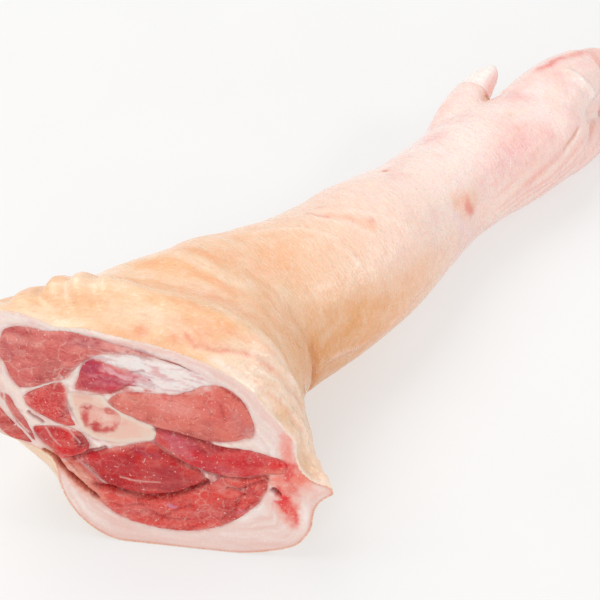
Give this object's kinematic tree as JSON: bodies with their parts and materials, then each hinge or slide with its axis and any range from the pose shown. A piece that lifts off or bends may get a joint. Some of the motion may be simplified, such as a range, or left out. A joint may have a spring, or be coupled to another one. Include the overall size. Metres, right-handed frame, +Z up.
{
  "type": "pork leg",
  "caption": "Raw pork foreleg with its foot, cut through the upper arm, lying on its side, with meat and bone showing at the cut.",
  "frame": {"origin": "centre of the bounding box's bottom, on the surface the leg lies on", "axes": "+X along the leg to the toes, +Y to the back of the leg, +Z up"},
  "size_m": [0.4848, 0.1614, 0.1272],
  "materials": {
    "rind_fat": "moist skin over white fat",
    "muscle": "wet raw meat",
    "bone": "sawn bone",
    "marrow": "spongy marrow",
    "claw": "smooth pale horn"
  },
  "bodies": {
    "root": {"rind_fat": "rind_fat", "muscle_top_back": "muscle", "muscle_back": "muscle", "muscle_back_strip": "muscle", "muscle_back_low": "muscle", "muscle_under_bone": "muscle", "muscle_over_bone": "muscle", "muscle_front": "muscle", "muscle_front_band": "muscle", "muscle_core": "muscle", "muscle_under": "muscle", "bone": "bone", "marrow": "marrow", "claw_upper": "claw", "claw_lower": "claw", "dew_claw_upper": "claw", "dew_claw_lower": "claw"}
  },
  "joints": []
}
